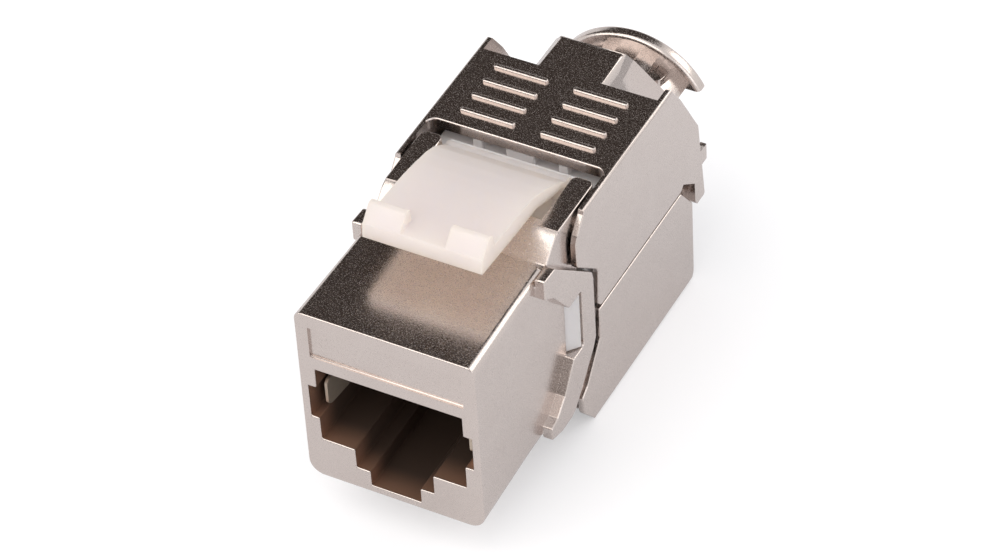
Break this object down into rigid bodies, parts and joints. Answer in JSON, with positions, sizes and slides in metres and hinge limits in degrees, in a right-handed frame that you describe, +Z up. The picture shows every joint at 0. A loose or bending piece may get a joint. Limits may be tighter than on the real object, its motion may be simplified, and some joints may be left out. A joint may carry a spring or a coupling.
{
  "type": "keystone jack",
  "caption": "Shielded modular jack that snaps into a panel, with a springy top latch, side lugs, two hinged rear covers over the wire blocks and a half-round cable outlet.",
  "frame": {"origin": "below the middle of the whole part, on the plane its lower cover rests on", "axes": "+X to the right seen from the plug side, +Y from the plug opening towards the cable outlet, +Z up towards the latch"},
  "size_m": [0.0156, 0.0404, 0.0248],
  "materials": {
    "nickel_shell": "satin nickel plate on zinc casting",
    "nickel_covers": "satin nickel plate on zinc casting",
    "white_plastic": "milky white moulded plastic",
    "carrier_plastic": "dark moulded plastic",
    "board_laminate": "green solder mask",
    "contact_gold": "gold-plated spring wire",
    "contact_tin": "tin-plated bronze",
    "spring_strip": "bright nickel-plated strip"
  },
  "bodies": {
    "jack_body": {"front_shell": "nickel_shell", "insert_housing": "white_plastic", "contact_carrier": "carrier_plastic", "circuit_board": "board_laminate", "wire_block_upper": "white_plastic", "wire_block_lower": "white_plastic", "shield_spring_right": "spring_strip", "shield_spring_left": "spring_strip", "spring_contact_1": "contact_gold", "spring_contact_2": "contact_gold", "spring_contact_3": "contact_gold", "spring_contact_4": "contact_gold", "spring_contact_5": "contact_gold", "spring_contact_6": "contact_gold", "spring_contact_7": "contact_gold", "spring_contact_8": "contact_gold", "wire_contact_1": "contact_tin", "wire_contact_2": "contact_tin", "wire_contact_3": "contact_tin", "wire_contact_4": "contact_tin", "wire_contact_5": "contact_tin", "wire_contact_6": "contact_tin", "wire_contact_7": "contact_tin", "wire_contact_8": "contact_tin"},
    "upper_door": {"upper_cover": "nickel_covers", "wire_presser_upper": "white_plastic"},
    "lower_door": {"lower_cover": "nickel_covers", "wire_presser_lower": "white_plastic"},
    "latch": {"latch_tab": "white_plastic"}
  },
  "joints": [
    {"name": "upper_cover_hinge", "type": "hinge", "parent": "jack_body", "child": "upper_door", "pos_m": [0, -0.00323, 0.0193], "axis": [1, 0, 0], "range_deg": [0, 85]},
    {"name": "lower_cover_hinge", "type": "hinge", "parent": "jack_body", "child": "lower_door", "pos_m": [0, -0.00363, 0.0033], "axis": [-1, 0, 0], "range_deg": [0, 85]},
    {"name": "latch_flex", "type": "hinge", "parent": "jack_body", "child": "latch", "pos_m": [0, -0.00103, 0.0205], "axis": [1, 0, 0], "range_deg": [0, 4], "stiffness_Nm_per_rad": 0.02}
  ]
}
